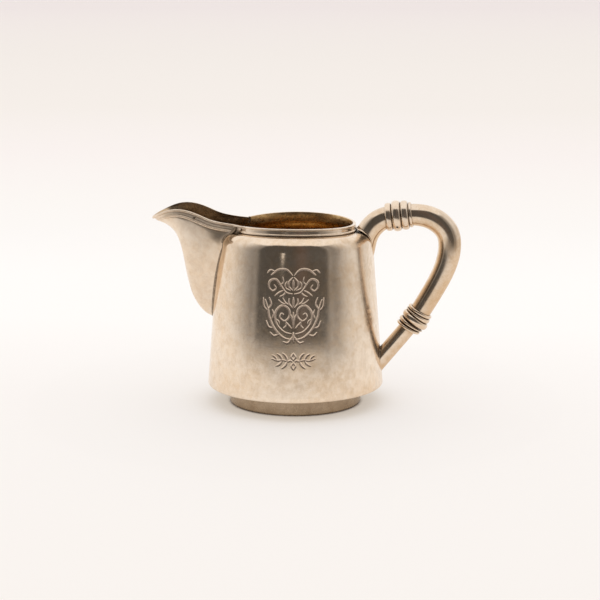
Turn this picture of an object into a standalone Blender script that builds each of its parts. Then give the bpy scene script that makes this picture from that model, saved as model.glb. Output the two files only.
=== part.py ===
"""A footed silver cream jug: tapered body, flared spout, moulded rim bands and a hollow tube handle.

Metres, +Z up. The jug stands on z = 0, the spout points along -X and the handle along +X.
Every soldered joint is modelled as a 0.3 mm gap between two closed bodies.
"""

import math

import bmesh
import bpy
from mathutils import Matrix, Vector

MM = 0.001
GAP = 0.3 * MM

# Body: a tapered wall with a rounded shoulder and a short neck.
SHEET = 0.9 * MM
BODY_BOTTOM_Z = 7.4 * MM
BODY_BOTTOM_R = 36.2 * MM
BODY_TAPER = 0.0784
SHOULDER_Z = 66.3 * MM
SHOULDER_TOP_Z = 72.0 * MM
NECK_R = 25.4 * MM
NECK_BORE_R = 23.7 * MM
BODY_STEPS = 64

# Foot ring and base plate.
FOOT_R = 27.0 * MM
FOOT_TOP_R = 27.6 * MM
FOOT_WALL = 1.3 * MM
FOOT_TOP_Z = BODY_BOTTOM_Z - GAP

# Mouth: the rim stands highest over the sides and dips towards the spout and the handle.
RIM_Z = 75.0 * MM
RIM_DIP = 0.9 * MM
BAND_BORE_R = 23.4 * MM
BAND_JOINT_ANGLE = math.radians(32.0)

# Spout: keel line in the plane of symmetry, then the rim line of one side (x outwards, half width, z).
SPOUT_SHEET = 0.8 * MM
KEEL = (
    (34.15, 34.3), (36.8, 35.6), (39.1, 37.7), (41.1, 40.6), (42.7, 43.8), (43.9, 48.0),
    (44.9, 52.5), (45.6, 57.5), (46.0, 62.0), (46.6, 66.0), (48.2, 69.3), (50.8, 71.9),
    (54.0, 73.5), (57.0, 74.2), (59.0, 74.7),
)
RIM_LINE = (
    (21.0, 12.7, 74.25), (23.6, 11.9, 74.55), (28.0, 11.8, 75.1), (33.0, 12.1, 76.2),
    (38.0, 12.3, 78.3), (43.0, 12.0, 79.9), (48.0, 11.2, 80.2), (52.0, 9.9, 79.2),
    (55.0, 8.2, 77.7), (57.2, 5.9, 76.2), (58.5, 3.2, 75.15), (59.0, 0.0, 74.7),
)
SEAM_FOOT_Z = 34.3 * MM
SEAM_SPREAD = 0.43
LIP_BAND_TALL = 3.3 * MM
LIP_BAND_TALL_AT_TIP = 2.4 * MM
LIP_BAND_THICK = 1.3 * MM

# Handle: centre line points in the plane of symmetry, each with the tube radius.
HANDLE_WALL = 0.9 * MM
UPPER_BRANCH = (
    (27.4, 62.5, 4.9), (28.6, 68.2, 4.9), (30.6, 72.0, 4.75), (33.2, 74.7, 4.65),
    (36.5, 76.5, 4.5), (40.9, 77.35, 4.4),
)
BOW = (
    (41.5, 77.43, 4.4), (46.5, 77.95, 4.4), (50.5, 77.9, 4.45), (54.6, 77.0, 4.55),
    (58.1, 75.1, 4.65), (60.8, 72.5, 4.65), (62.3, 69.6, 4.65), (62.7, 66.0, 4.65),
    (62.4, 62.0, 4.6), (61.3, 57.7, 4.5), (59.4, 53.0, 4.4), (56.3, 47.0, 4.3),
    (53.0, 41.3, 4.25), (49.4, 35.2, 4.2),
)
LOWER_BRANCH = (
    (48.65, 34.33, 3.5), (45.4, 30.4, 3.5), (41.9, 26.1, 3.5), (38.0, 21.3, 3.5),
    (32.0, 13.9, 3.5),
)
TUBE_SIDES = 18

# Collar: rounded rings (position along +X, height, inner radius, outer radius, width), all leaning alike.
COLLAR_LEAN = math.radians(7.0)
COLLAR = (
    ("collar_ring_inner", 38.0, 76.92, 5.05, 5.7, 2.3),
    ("collar_ring_middle", 41.15, 77.4, 4.85, 6.25, 3.1),
    ("collar_ring_outer", 44.45, 77.75, 4.8, 5.95, 2.7),
    ("collar_edge_ring", 46.75, 77.95, 4.8, 5.15, 1.1),
)
VENT_R = 0.45 * MM

# Knot: wrapped wires (position along +X, height, lean of the axis in degrees, inner radius,
# outer radius, mean width, how much wider the far side is than the mean).
KNOT = (
    ("knot_wire_1", 51.1, 38.24, 60.0, 4.62, 5.3, 1.25, 0.0),
    ("knot_wire_2", 50.33, 36.87, 56.0, 4.62, 5.5, 1.15, 0.72),
    ("knot_wire_3", 49.2, 34.87, 52.5, 4.78, 5.9, 2.7, 0.0),
    ("knot_wire_4", 47.53, 32.96, 55.5, 4.0, 5.45, 1.1, -0.68),
    ("knot_wire_5", 46.5, 31.66, 59.5, 4.05, 5.25, 1.3, 0.0),
)

# The body axis stands off the middle so that the whole jug is centred over the origin.
SPOUT_REACH = 58.98 * MM
HANDLE_REACH = 67.28 * MM
AXIS_X = (SPOUT_REACH - HANDLE_REACH) / 2.0


def clear_scene():
    for item in list(bpy.data.objects):
        bpy.data.objects.remove(item, do_unlink=True)


def make_collection(name):
    group = bpy.data.collections.new(name)
    bpy.context.scene.collection.children.link(group)
    return group


def make_material(name, colour, roughness):
    material = bpy.data.materials.new(name)
    material.use_nodes = True
    shader = material.node_tree.nodes["Principled BSDF"]
    shader.inputs["Base Color"].default_value = colour
    shader.inputs["Metallic"].default_value = 1.0
    shader.inputs["Roughness"].default_value = roughness
    return material


def body_radius(z):
    """Outer radius of the body wall at a height between the foot and the top of the shoulder."""
    side = BODY_BOTTOM_R - BODY_TAPER * (z - BODY_BOTTOM_Z)
    if z <= SHOULDER_Z:
        return side
    rise = min((z - SHOULDER_Z) / (SHOULDER_TOP_Z - SHOULDER_Z), 1.0)
    corner = BODY_BOTTOM_R - BODY_TAPER * (SHOULDER_Z - BODY_BOTTOM_Z)
    return NECK_R + (corner - NECK_R) * math.sqrt(max(1.0 - rise * rise, 0.0))


def shoulder_points(grow):
    """Profile of the shoulder from the neck down to the side, moved outwards by grow."""
    corner = BODY_BOTTOM_R - BODY_TAPER * (SHOULDER_Z - BODY_BOTTOM_Z)
    wide = corner - NECK_R + grow
    tall = SHOULDER_TOP_Z - SHOULDER_Z + grow
    points = []
    for step in range(8):
        turn = math.radians(90.0 - 90.0 * step / 7.0)
        points.append((NECK_R + wide * math.cos(turn), SHOULDER_Z + tall * math.sin(turn)))
    return points


def rim_height(angle):
    """Height of the mouth rim at an angle measured from the spout direction."""
    return RIM_Z - RIM_DIP * math.cos(angle) ** 2


def sway(mesh):
    """Carry the dip of the mouth rim down into the shoulder."""
    for vertex in mesh.vertices:
        share = (vertex.co.z - SHOULDER_Z) / (SHOULDER_TOP_Z - SHOULDER_Z)
        if share > 0.0:
            angle = math.atan2(vertex.co.y, -vertex.co.x)
            vertex.co.z -= RIM_DIP * math.cos(angle) ** 2 * min(share, 1.0)


def smooth_line(points, count):
    """Evenly spaced points along a rounded line through the given points."""
    knots = [Vector(point) for point in points]
    dense = []
    for index in range(len(knots) - 1):
        before = knots[max(index - 1, 0)]
        start = knots[index]
        end = knots[index + 1]
        after = knots[min(index + 2, len(knots) - 1)]
        for step in range(24):
            t = step / 24.0
            a = -0.5 * before + 1.5 * start - 1.5 * end + 0.5 * after
            b = before - 2.5 * start + 2.0 * end - 0.5 * after
            c = -0.5 * before + 0.5 * end
            dense.append(((a * t + b) * t + c) * t + start)
    dense.append(knots[-1])
    run = [0.0]
    for index in range(1, len(dense)):
        run.append(run[-1] + (dense[index] - dense[index - 1]).length)
    line = []
    seek = 0
    for step in range(count):
        goal = run[-1] * step / (count - 1)
        while seek < len(run) - 2 and run[seek + 1] < goal:
            seek += 1
        span = max(run[seek + 1] - run[seek], 1e-12)
        line.append(dense[seek].lerp(dense[seek + 1], min((goal - run[seek]) / span, 1.0)))
    return line


def link_mesh(name, mesh, group, material):
    item = bpy.data.objects.new(name, mesh)
    group.objects.link(item)
    mesh.materials.append(material)
    return item


def shade(item):
    item.data.shade_smooth()
    item.data.set_sharp_from_angle(angle=math.radians(38.0))


def settle(item):
    """Replace the object's mesh by the result of its modifiers."""
    graph = bpy.context.evaluated_depsgraph_get()
    mesh = bpy.data.meshes.new_from_object(item.evaluated_get(graph))
    item.modifiers.clear()
    item.data = mesh
    work = bmesh.new()
    work.from_mesh(mesh)
    bmesh.ops.remove_doubles(work, verts=work.verts, dist=0.00003)
    bmesh.ops.dissolve_degenerate(work, edges=work.edges, dist=0.00001)
    work.to_mesh(mesh)
    work.free()


def turned(name, profile, steps, group, material):
    """A closed profile turned once round the jug axis with the Screw tool."""
    mesh = bpy.data.meshes.new(name)
    count = len(profile)
    verts = [(r, 0.0, z) for r, z in profile]
    edges = [(i, (i + 1) % count) for i in range(count)]
    mesh.from_pydata(verts, edges, [])
    item = link_mesh(name, mesh, group, material)
    screw = item.modifiers.new("turn", "SCREW")
    screw.steps = steps
    screw.render_steps = steps
    screw.use_merge_vertices = True
    screw.merge_threshold = 0.00001
    settle(item)
    face_out(item)
    return item


def turned_solid(name, profile, steps, group, material):
    """An open profile from axis to axis turned into a solid with the Screw tool."""
    mesh = bpy.data.meshes.new(name)
    verts = [(r, 0.0, z) for r, z in profile]
    edges = [(i, i + 1) for i in range(len(profile) - 1)]
    mesh.from_pydata(verts, edges, [])
    item = link_mesh(name, mesh, group, material)
    screw = item.modifiers.new("turn", "SCREW")
    screw.steps = steps
    screw.render_steps = steps
    screw.use_merge_vertices = True
    screw.merge_threshold = 0.00001
    settle(item)
    face_out(item)
    return item


def face_out(item):
    work = bmesh.new()
    work.from_mesh(item.data)
    bmesh.ops.recalc_face_normals(work, faces=work.faces)
    if work.calc_volume(signed=True) < 0.0:
        bmesh.ops.reverse_faces(work, faces=work.faces)
    work.to_mesh(item.data)
    work.free()


def skin(name, rings, closed, group, material):
    """A closed body skinned over a row of matching closed rings."""
    mesh = bpy.data.meshes.new(name)
    work = bmesh.new()
    rows = [[work.verts.new(point) for point in ring] for ring in rings]
    around = len(rows[0])
    pairs = list(zip(rows, rows[1:]))
    if closed:
        pairs.append((rows[-1], rows[0]))
    for low, high in pairs:
        for i in range(around):
            j = (i + 1) % around
            work.faces.new((low[i], low[j], high[j], high[i]))
    if not closed:
        work.faces.new(rows[0])
        work.faces.new(rows[-1])
    bmesh.ops.recalc_face_normals(work, faces=work.faces)
    work.to_mesh(mesh)
    work.free()
    item = link_mesh(name, mesh, group, material)
    face_out(item)
    return item


def cut(item, cutter):
    """Take a cutter away from a body, exactly."""
    boolean = item.modifiers.new("cut", "BOOLEAN")
    boolean.operation = "DIFFERENCE"
    boolean.solver = "EXACT"
    boolean.object = cutter
    settle(item)


def hide_cutter(item):
    item.hide_render = True
    item.display_type = "WIRE"


# ---------------------------------------------------------------- body and foot


def build_body_wall(group, material, cutters):
    """Tapered wall, rounded shoulder and short neck, opened behind the spout."""
    foot_z = BODY_BOTTOM_Z
    outer = [(NECK_R - 0.3 * MM, SHOULDER_TOP_Z)]
    outer += shoulder_points(0.0)[1:]
    for z in (50.0, 36.0, 22.0):
        outer.append((body_radius(z * MM), z * MM))
    outer.append((body_radius(foot_z + 1.0 * MM), foot_z + 1.0 * MM))
    outer.append((BODY_BOTTOM_R - 0.25 * MM, foot_z + 0.3 * MM))
    outer.append((BODY_BOTTOM_R - 0.6 * MM, foot_z))
    inner = [(BODY_BOTTOM_R - SHEET, foot_z)]
    for z in (22.0, 36.0, 50.0):
        inner.append((body_radius(z * MM) - SHEET, z * MM))
    inner += list(reversed(shoulder_points(-SHEET)))[:-1]
    inner.append((NECK_BORE_R, SHOULDER_TOP_Z - SHEET))
    inner.append((NECK_BORE_R, SHOULDER_TOP_Z))
    wall = turned("body_wall", outer + inner, BODY_STEPS, group, material)
    sway(wall.data)
    cut(wall, build_spout_opening(cutters, material))
    shade(wall)
    return wall


def build_spout_opening(cutters, material):
    """V-shaped prism that opens the wall behind the spout, a little inside the soldered seam."""
    sides = []
    for z in (39.5, 48.0, 57.0, 66.5):
        half = seam_half_width(z * MM) - 2.0 * MM
        sides.append((half, z * MM))
    sides.append((12.1 * MM, 69.0 * MM))
    sides.append((11.4 * MM, 71.0 * MM))
    sides.append((11.3 * MM, 80.0 * MM))
    outline = [(-y, z) for y, z in sides] + [(y, z) for y, z in reversed(sides)]
    rings = []
    for x in (-60.0 * MM, -10.0 * MM):
        rings.append([(x, y, z) for y, z in outline])
    cutter = skin("cut_spout_opening", rings, False, cutters, material)
    hide_cutter(cutter)
    return cutter


def build_base_plate(group, material):
    """Flat disc that closes the wall just above the foot."""
    edge = BODY_BOTTOM_R - SHEET - GAP - 0.1 * MM
    profile = [
        (0.0, BODY_BOTTOM_Z + SHEET),
        (edge, BODY_BOTTOM_Z + SHEET),
        (edge, BODY_BOTTOM_Z),
        (0.0, BODY_BOTTOM_Z),
    ]
    plate = turned_solid("base_plate", profile, 48, group, material)
    shade(plate)
    return plate


def build_foot_ring(group, material):
    """Short soldered foot band with a flat standing face."""
    profile = [
        (FOOT_TOP_R, FOOT_TOP_Z),
        (FOOT_R + 0.15 * MM, FOOT_TOP_Z - 1.2 * MM),
        (FOOT_R, 0.5 * MM),
        (FOOT_R - 0.15 * MM, 0.0),
        (FOOT_R - FOOT_WALL, 0.0),
        (FOOT_R - FOOT_WALL, FOOT_TOP_Z),
    ]
    ring = turned("foot_ring", profile, 56, group, material)
    shade(ring)
    return ring


# ---------------------------------------------------------------- rim bands


def band_outline(thick, tall):
    """Section of the moulded band as (outwards, upwards) from the bottom of its inner face."""
    return [
        (0.0, 0.0),
        (thick + 0.45 * MM, 0.0),
        (thick + 0.6 * MM, 0.35 * MM),
        (thick + 0.45 * MM, 0.75 * MM),
        (thick + 0.1 * MM, 0.95 * MM),
        (thick - 0.05 * MM, tall - 0.75 * MM),
        (thick + 0.1 * MM, tall - 0.4 * MM),
        (thick - 0.1 * MM, tall),
        (0.1 * MM, tall),
        (0.0, tall - 0.2 * MM),
    ]


def build_mouth_band(group, material):
    """Moulded band round the mouth, from one side of the spout round to the other."""
    rings = []
    start = BAND_JOINT_ANGLE
    count = 48
    tall = RIM_Z - SHOULDER_TOP_Z - GAP
    for step in range(count + 1):
        angle = start + (2.0 * math.pi - 2.0 * start) * step / count
        top = rim_height(angle)
        ring = []
        for out, up in band_outline(LIP_BAND_THICK - 0.1 * MM, tall):
            r = BAND_BORE_R + out
            ring.append((-r * math.cos(angle), r * math.sin(angle), top - tall + up))
        rings.append(ring)
    band = skin("mouth_band", rings, False, group, material)
    shade(band)
    return band


# ---------------------------------------------------------------- spout


def seam_half_width(z):
    """Half width of the soldered seam between the spout and the wall at a height."""
    rise = max(z - SEAM_FOOT_Z, 0.0)
    width = SEAM_SPREAD * rise + 1.3 * MM * (1.0 - math.exp(-rise / (0.7 * MM)))
    top = SHOULDER_Z + 1.0 * MM
    if z > top:
        width -= 0.42 * (z - top)
    if z > top:
        width -= SEAM_SPREAD * (z - top)
    return width


def seam_point(z):
    radius = body_radius(min(z, SHOULDER_TOP_Z - 0.02 * MM))
    half = min(seam_half_width(z), radius * 0.9)
    return Vector((-math.sqrt(radius * radius - half * half), half, z))


def free_rib_point(keel, rim, t):
    """Point at a share t of an evenly rounded rib from the keel to the rim."""
    across = math.sin(0.5 * math.pi * t ** 0.62)
    flat = keel.lerp(rim, t)
    return Vector((flat.x, rim.y * across, flat.z))


def spout_rib(keel, rim, blend, stops):
    """One rib of the spout, from the keel up to the rim, as points of the +Y side."""
    first_keel = Vector((-KEEL[0][0] * MM, 0.0, KEEL[0][1] * MM))
    first_rim = Vector((-RIM_LINE[0][0] * MM, RIM_LINE[0][1] * MM, RIM_LINE[0][2] * MM))
    points = []
    for t in stops:
        first = free_rib_point(first_keel, first_rim, t)
        shift = seam_point(first.z) - first
        fade = min(max((1.0 - t) / 0.13, 0.0), 1.0)
        points.append(free_rib_point(keel, rim, t) + shift * blend * fade)
    return points


def spout_lines():
    keel = smooth_line([(-x * MM, 0.0, z * MM) for x, z in KEEL], 25)
    rim = smooth_line([(-x * MM, y * MM, z * MM) for x, y, z in RIM_LINE], 25)
    return keel, rim


def build_spout_shell(group, material, wall_cutter, cutters):
    """Folded sheet spout, trimmed where it meets the wall and under the lip band."""
    keel, rim = spout_lines()
    last = 22
    stops = [0.0, 0.012, 0.035, 0.075, 0.13, 0.2, 0.29, 0.39, 0.5, 0.61, 0.71, 0.8, 0.87, 0.93, 1.0]
    rows = []
    for place in range(last + 1):
        blend = max(1.0 - place / 7.0, 0.0) ** 1.6
        rows.append(spout_rib(keel[place], rim[place], blend, stops))
    rows.insert(0, [first + (first - second) * 1.2 for first, second in zip(rows[0], rows[1])])
    mesh = bpy.data.meshes.new("spout_shell")
    work = bmesh.new()
    grid = []
    for row in rows:
        left = [Vector((point.x, -point.y, point.z)) for point in reversed(row[1:])]
        grid.append([work.verts.new(point) for point in left + row])
    for low, high in zip(grid, grid[1:]):
        for i in range(len(low) - 1):
            work.faces.new((low[i], low[i + 1], high[i + 1], high[i]))
    bmesh.ops.recalc_face_normals(work, faces=work.faces)
    work.to_mesh(mesh)
    work.free()
    shell = link_mesh("spout_shell", mesh, group, material)
    solid = shell.modifiers.new("sheet", "SOLIDIFY")
    solid.thickness = SPOUT_SHEET
    solid.offset = -1.0
    solid.use_even_offset = True
    solid.use_quality_normals = True
    settle(shell)
    face_out(shell)
    cut(shell, wall_cutter)
    clearance = [(-1.2, -0.35), (2.6, -0.35), (2.6, 4.6), (-1.2, 4.6)]
    room = skin_band("cut_lip_band", clearance, cutters, material)
    hide_cutter(room)
    cut(shell, room)
    shade(shell)
    return shell


def lip_frames():
    """Place, downward and outward directions and band height along one side of the rim."""
    keel, rim = spout_lines()
    tip_down = Vector((1.0, 0.0, -0.1)).normalized()
    frames = []
    for index in range(25):
        run = (rim[min(index + 1, 24)] - rim[max(index - 1, 0)]).normalized()
        if index == 24:
            run = Vector((0.0, -1.0, 0.0))
        share = index / 24.0
        down = (spout_rib(keel[index], rim[index], 0.0, [0.9])[0] - rim[index]).normalized()
        turn = min(max((share - 0.75) / 0.2, 0.0), 1.0)
        down = down.lerp(tip_down, turn)
        down = (down - run * down.dot(run)).normalized()
        out = run.cross(down).normalized()
        if out.y < 0.0 or (index == 24 and out.z > 0.0):
            out = -out
        tall = LIP_BAND_TALL + (LIP_BAND_TALL_AT_TIP - LIP_BAND_TALL) * max(share - 0.4, 0.0) / 0.6
        frames.append((rim[index], down, out, tall))
    return frames


def skin_band(name, outline, group, material):
    """Sweep an outline (across, up) along the whole rim; no outline means the moulded band itself."""
    rings = []
    for place, down, out, tall in lip_frames():
        base = place + down * tall - out * (LIP_BAND_THICK - 0.1 * MM)
        section = [(across * MM, up * MM) for across, up in outline]
        if not section:
            section = band_outline(LIP_BAND_THICK - 0.3 * MM, tall)
        rings.append([base + out * across - down * up for across, up in section])
    if outline:
        rings.insert(0, [first + (first - second) * 2.0 for first, second in zip(*rings[:2])])
    mirrored = []
    for ring in reversed(rings[:-1]):
        mirrored.append([Vector((point.x, -point.y, point.z)) for point in ring])
    return skin(name, rings + mirrored, False, group, material)


def build_lip_band(group, material, wall_cutter):
    """Moulded band that follows the spout rim from one mouth joint round the tip to the other."""
    band = skin_band("spout_lip_band", [], group, material)
    cut(band, wall_cutter)
    shade(band)
    return band


# ---------------------------------------------------------------- handle


def build_tube(name, line, group, material, wall_cutter):
    """Hollow tube along a rounded line in the plane of symmetry, open at both ends."""
    curve = bpy.data.curves.new(name + "_line", "CURVE")
    curve.dimensions = "3D"
    curve.bevel_depth = 1.0 * MM
    curve.bevel_resolution = TUBE_SIDES // 2 - 2
    curve.use_fill_caps = False
    count = max(2 * len(line) - 3, 5)
    places = smooth_line([(x * MM, r * MM, z * MM) for x, z, r in line], count)
    spline = curve.splines.new("POLY")
    spline.points.add(count - 1)
    for point, place in zip(spline.points, places):
        point.co = (place.x, 0.0, place.z, 1.0)
        point.radius = place.y / MM
    draft = bpy.data.objects.new(name + "_line", curve)
    group.objects.link(draft)
    graph = bpy.context.evaluated_depsgraph_get()
    mesh = bpy.data.meshes.new_from_object(draft.evaluated_get(graph))
    bpy.data.objects.remove(draft, do_unlink=True)
    bpy.data.curves.remove(curve)
    mesh.materials.clear()
    tube = link_mesh(name, mesh, group, material)
    work = bmesh.new()
    work.from_mesh(mesh)
    bmesh.ops.remove_doubles(work, verts=work.verts, dist=0.00003)
    bmesh.ops.recalc_face_normals(work, faces=work.faces)
    work.to_mesh(mesh)
    work.free()
    solid = tube.modifiers.new("wall", "SOLIDIFY")
    solid.thickness = HANDLE_WALL
    solid.offset = -1.0
    solid.use_even_offset = True
    settle(tube)
    face_out(tube)
    if wall_cutter is not None:
        cut(tube, wall_cutter)
    shade(tube)
    return tube


def build_ring(name, centre, axis, inner, outer, width, wedge, group, material):
    """Rounded ring about a leaning axis; a wedge makes it wider on the far side of the handle."""
    along = Vector((math.cos(axis), 0.0, math.sin(axis)))
    right = Vector((math.sin(axis), 0.0, -math.cos(axis)))
    side = Vector((0.0, 1.0, 0.0))
    around = 30
    rings = []
    for step in range(around):
        turn = 2.0 * math.pi * step / around
        out = right * math.cos(turn) + side * math.sin(turn)
        half = 0.5 * (width + wedge * math.cos(turn))
        ring = [centre + out * inner - along * half * 0.8]
        for bend in (-78.0, -50.0, -22.0, 22.0, 50.0, 78.0):
            angle = math.radians(bend)
            high = inner + (outer - inner) * (0.35 + 0.65 * math.cos(angle))
            ring.append(centre + out * high + along * half * math.sin(angle))
        ring.append(centre + out * inner + along * half * 0.8)
        rings.append(ring)
    item = skin(name, rings, True, group, material)
    shade(item)
    return item


def build_collar(group, material, cutters):
    rings = []
    for name, x, z, inner, outer, width in COLLAR:
        centre = Vector((x * MM, 0.0, z * MM))
        size = (inner * MM, outer * MM, width * MM)
        rings.append(build_ring(name, centre, COLLAR_LEAN, *size, 0.0, group, material))
    middle = rings[1]
    centre = Vector((COLLAR[1][1] * MM, 0.0, COLLAR[1][2] * MM))
    aim = Vector((0.0, -math.cos(math.radians(62.0)), -math.sin(math.radians(62.0))))
    bpy.ops.mesh.primitive_cylinder_add(vertices=12, radius=VENT_R, depth=4.0 * MM)
    drill = bpy.context.object
    drill.name = "cut_vent"
    turn = aim.to_track_quat("Z", "Y").to_matrix().to_4x4()
    drill.matrix_world = Matrix.Translation(centre + aim * 5.5 * MM) @ turn
    for home in list(drill.users_collection):
        home.objects.unlink(drill)
    cutters.objects.link(drill)
    hide_cutter(drill)
    bpy.context.view_layer.update()
    cut(middle, drill)
    shade(middle)


def build_knot(group, material):
    for name, x, z, lean, inner, outer, width, wedge in KNOT:
        centre = Vector((x * MM, 0.0, z * MM))
        size = (inner * MM, outer * MM, width * MM, wedge * MM)
        build_ring(name, centre, math.radians(lean), *size, group, material)


# ---------------------------------------------------------------- cutters and assembly


def build_wall_cutter(name, cutters, material, top_band):
    """Solid a little larger than the body, used to trim what is soldered on to it."""
    profile = [(0.0, SHOULDER_TOP_Z + GAP)]
    if top_band:
        reach = BAND_BORE_R + LIP_BAND_THICK + 0.65 * MM + GAP
        profile = [(0.0, RIM_Z + GAP), (reach, RIM_Z + GAP), (reach, SHOULDER_TOP_Z + GAP)]
    profile += shoulder_points(GAP)
    profile.append((BODY_BOTTOM_R + GAP, BODY_BOTTOM_Z))
    profile.append((0.0, BODY_BOTTOM_Z))
    cutter = turned_solid(name, profile, BODY_STEPS, cutters, material)
    sway(cutter.data)
    hide_cutter(cutter)
    return cutter


def centre_all(groups):
    """Move the whole jug so that it is centred over the origin."""
    for group in groups:
        for item in group.objects:
            shift = Matrix.Translation((AXIS_X, 0.0, 0.0))
            item.data.transform(shift @ item.matrix_world)
            item.matrix_world = Matrix.Identity(4)


def main():
    clear_scene()
    jug = make_collection("cream_jug")
    cutters = make_collection("cutters")
    body_silver = make_material("body_silver", (0.86, 0.83, 0.78, 1.0), 0.24)
    trim_silver = make_material("trim_silver", (0.84, 0.8, 0.74, 1.0), 0.2)
    handle_silver = make_material("handle_silver", (0.87, 0.84, 0.79, 1.0), 0.18)
    foot_silver = make_material("foot_silver", (0.76, 0.7, 0.62, 1.0), 0.32)
    gilt = make_material("gilt_silver", (0.72, 0.48, 0.2, 1.0), 0.3)
    tool = make_material("cutter", (0.5, 0.5, 0.5, 1.0), 0.5)

    wall_cutter = build_wall_cutter("cut_wall", cutters, tool, False)
    root_cutter = build_wall_cutter("cut_wall_and_band", cutters, tool, True)
    build_body_wall(jug, body_silver, cutters)
    build_base_plate(jug, gilt)
    build_foot_ring(jug, foot_silver)
    build_mouth_band(jug, trim_silver)
    build_spout_shell(jug, body_silver, wall_cutter, cutters)
    build_lip_band(jug, trim_silver, wall_cutter)
    build_tube("handle_upper_branch", UPPER_BRANCH, jug, handle_silver, root_cutter)
    build_tube("handle_bow", BOW, jug, handle_silver, None)
    build_tube("handle_lower_branch", LOWER_BRANCH, jug, handle_silver, wall_cutter)
    build_collar(jug, trim_silver, cutters)
    build_knot(jug, trim_silver)
    centre_all((jug, cutters))


main()
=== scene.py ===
import math

import bmesh
import bpy
import numpy as np
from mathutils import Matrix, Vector


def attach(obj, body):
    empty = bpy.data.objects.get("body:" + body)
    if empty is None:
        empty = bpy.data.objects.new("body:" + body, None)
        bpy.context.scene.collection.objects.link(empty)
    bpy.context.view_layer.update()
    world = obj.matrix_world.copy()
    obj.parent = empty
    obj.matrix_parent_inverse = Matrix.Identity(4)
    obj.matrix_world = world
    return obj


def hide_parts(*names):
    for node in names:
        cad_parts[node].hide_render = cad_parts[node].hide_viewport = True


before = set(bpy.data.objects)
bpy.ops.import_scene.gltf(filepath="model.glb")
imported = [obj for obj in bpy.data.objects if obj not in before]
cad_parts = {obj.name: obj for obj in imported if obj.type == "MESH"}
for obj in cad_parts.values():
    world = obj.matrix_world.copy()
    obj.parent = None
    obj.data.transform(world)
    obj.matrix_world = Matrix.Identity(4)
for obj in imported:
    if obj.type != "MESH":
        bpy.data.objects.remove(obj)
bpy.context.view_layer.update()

# All lengths below are millimetres in the jug's own frame: the axis of the round body is x = y = 0,
# the spout points along -X and the handle along +X. AXIS_X is where that axis stands in the shared frame.
MM = 0.001
SIDEWAYS = np.array([0.0, 1.0, 0.0])
MIRROR = np.array([1.0, -1.0, 1.0])
AXIS_X = -4.15

BODY_BOTTOM_Z = 7.4
BODY_BOTTOM_R = 36.2
BODY_TAPER = 0.0784
SHOULDER_Z = 66.3
SHOULDER_TOP_Z = 72.0
SHOULDER_RISE = 5.7
NECK_R = 25.4
NECK_BORE_R = 23.7
SHEET = 0.9
RIM_Z = 75.0
RIM_DIP = 0.9
BAND_BORE_R = 23.4
BAND_R = 25.1
BAND_JOINT = math.radians(32.0)
SEAM_FOOT_Z = 34.3
SEAM_SPREAD = 0.43
OPENING_FOOT_Z = 39.0

KEEL = (
    (34.15, 34.3), (36.8, 35.6), (39.1, 37.7), (41.1, 40.6), (42.7, 43.8), (43.9, 48.0),
    (44.9, 52.5), (45.6, 57.5), (46.0, 62.0), (46.6, 66.0), (48.2, 69.3), (50.8, 71.9),
    (54.0, 73.5), (57.0, 74.2), (59.0, 74.7),
)
RIM_LINE = (
    (21.0, 12.7, 74.25), (23.6, 11.9, 74.55), (28.0, 11.8, 75.1), (33.0, 12.1, 76.2),
    (38.0, 12.3, 78.3), (43.0, 12.0, 79.9), (48.0, 11.2, 80.2), (52.0, 9.9, 79.2),
    (55.0, 8.2, 77.7), (57.2, 5.9, 76.2), (58.5, 3.2, 75.15), (59.0, 0.0, 74.7),
)
LIP_TALL = 3.3
LIP_TALL_AT_TIP = 2.4
LIP_THICK = 1.3
SCARF_LOW = -2.0
SCARF_HIGH = 4.5
SCARF_RINGS = 8
LIP_STEPS = 121
LIP_PIN_X = -39.2

UPPER_BRANCH = (
    (26.2, 57.5, 4.7), (27.4, 62.5, 4.9), (28.6, 68.2, 4.9), (30.6, 72.0, 4.75), (33.2, 74.7, 4.65),
    (36.5, 76.5, 4.5), (40.9, 77.35, 4.4),
)
BOW = (
    (41.5, 77.43, 4.4), (46.5, 77.95, 4.4), (50.5, 77.9, 4.45), (54.6, 77.0, 4.55),
    (58.1, 75.1, 4.65), (60.8, 72.5, 4.65), (62.3, 69.6, 4.65), (62.7, 66.0, 4.65),
    (62.4, 62.0, 4.6), (61.3, 57.7, 4.5), (59.4, 53.0, 4.4), (56.3, 47.0, 4.3),
    (53.0, 41.3, 4.25), (49.4, 35.2, 4.2),
)
LOWER_BRANCH = (
    (48.65, 34.33, 3.5), (45.4, 30.4, 3.5), (41.9, 26.1, 3.5), (38.0, 21.3, 3.5),
    (32.0, 13.9, 3.5),
)
COLLAR_LEAN = math.radians(7.0)
COLLAR = (
    ("collar_ring_inner", 38.0, 76.92, 4.4, 5.7, 2.5),
    ("collar_ring_middle", 41.15, 77.4, 4.3, 6.25, 3.4),
    ("collar_ring_outer", 44.45, 77.75, 4.3, 5.95, 2.9),
    ("collar_edge_ring", 46.75, 77.95, 4.3, 5.15, 1.2),
)
KNOT = (
    ("knot_wire_1", 51.1, 38.24, 60.0, 4.1, 5.3, 1.35, 0.0),
    ("knot_wire_2", 50.33, 36.87, 56.0, 4.1, 5.5, 1.25, 0.72),
    ("knot_wire_3", 49.2, 34.87, 52.5, 3.6, 5.9, 2.8, 0.0),
    ("knot_wire_4", 47.53, 32.96, 55.5, 3.5, 5.45, 1.2, -0.68),
    ("knot_wire_5", 46.5, 31.66, 59.5, 3.45, 5.25, 1.35, 0.0),
)


# --- camera


def add_object(name, data):
    item = bpy.data.objects.new(name, data)
    bpy.context.scene.collection.objects.link(item)
    return item


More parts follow.
